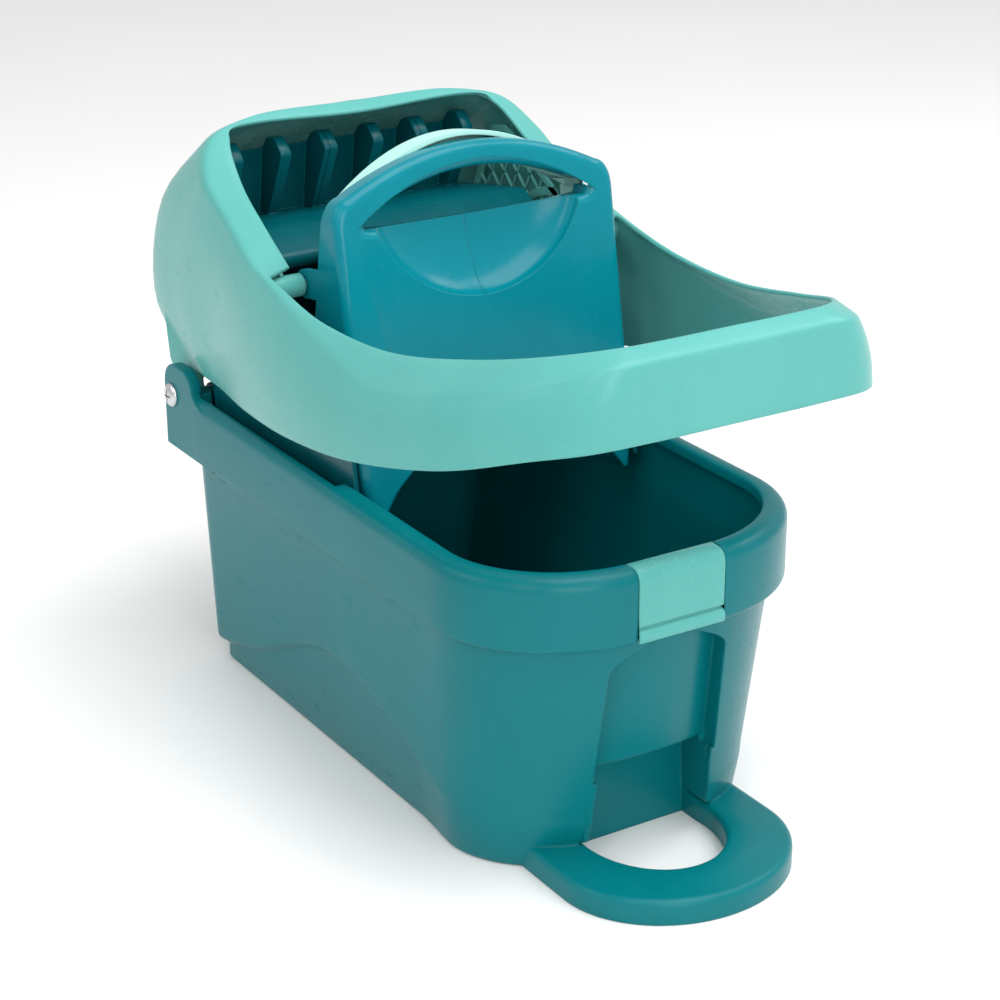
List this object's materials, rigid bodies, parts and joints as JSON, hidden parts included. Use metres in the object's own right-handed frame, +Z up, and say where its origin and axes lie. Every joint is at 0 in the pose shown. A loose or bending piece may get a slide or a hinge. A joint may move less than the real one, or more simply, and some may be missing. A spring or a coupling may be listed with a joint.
{
  "type": "mop wringer bucket",
  "caption": "Long mop bucket with a foot ring, a rim clip and a hinged press frame that carries a ribbed jaw, a drain basket and a pivoting hand grip for wringing.",
  "frame": {"origin": "middle of the tub's flat base, on the floor", "axes": "+X towards the foot ring, +Z up, Y across the bucket; the press frame hinges at the -X end"},
  "size_m": [0.4898, 0.2508, 0.3334],
  "materials": {
    "teal_plastic": "satin moulded polypropylene",
    "deep_teal_plastic": "satin moulded polypropylene",
    "mint_plastic": "satin moulded polypropylene",
    "white_nylon": "smooth nylon",
    "bright_steel": "bright nickel-plated steel"
  },
  "bodies": {
    "tub": {"bucket_tub": "teal_plastic", "latch_pin": "bright_steel", "hinge_screw_left": "bright_steel", "hinge_screw_right": "bright_steel", "hinge_bush_left": "white_nylon", "hinge_bush_right": "white_nylon", "hinge_nut_left": "bright_steel", "hinge_nut_right": "bright_steel", "hinge_washer_left": "white_nylon", "hinge_washer_right": "white_nylon"},
    "latch": {"rim_latch_clip": "mint_plastic"},
    "press": {"press_frame": "mint_plastic", "ribbed_jaw": "deep_teal_plastic", "drain_basket": "deep_teal_plastic", "side_guide_left": "mint_plastic", "side_guide_right": "mint_plastic", "pivot_pin_left": "bright_steel", "pivot_pin_right": "bright_steel", "return_spring_left": "bright_steel", "return_spring_right": "bright_steel", "frame_screw_left_1": "bright_steel", "frame_screw_left_2": "bright_steel", "frame_screw_right_1": "bright_steel", "frame_screw_right_2": "bright_steel"},
    "grip": {"grip_front_shell": "teal_plastic", "grip_back_shell": "mint_plastic", "press_plate": "deep_teal_plastic"}
  },
  "joints": [
    {"name": "press_hinge", "type": "hinge", "parent": "tub", "child": "press", "pos_m": [-0.17325, 0, 0.162], "axis": [0, -1, 0], "range_deg": [-10, 70]},
    {"name": "grip_pivot", "type": "hinge", "parent": "press", "child": "grip", "pos_m": [-0.03838, 0, 0.26092], "axis": [0, 1, 0], "range_deg": [0, 18], "stiffness_Nm_per_rad": 0.8, "springref_deg": -8.59},
    {"name": "latch_swing", "type": "hinge", "parent": "tub", "child": "latch", "pos_m": [0.17595, 0, 0.162], "axis": [0, -1, 0], "range_deg": [0, 45]}
  ]
}
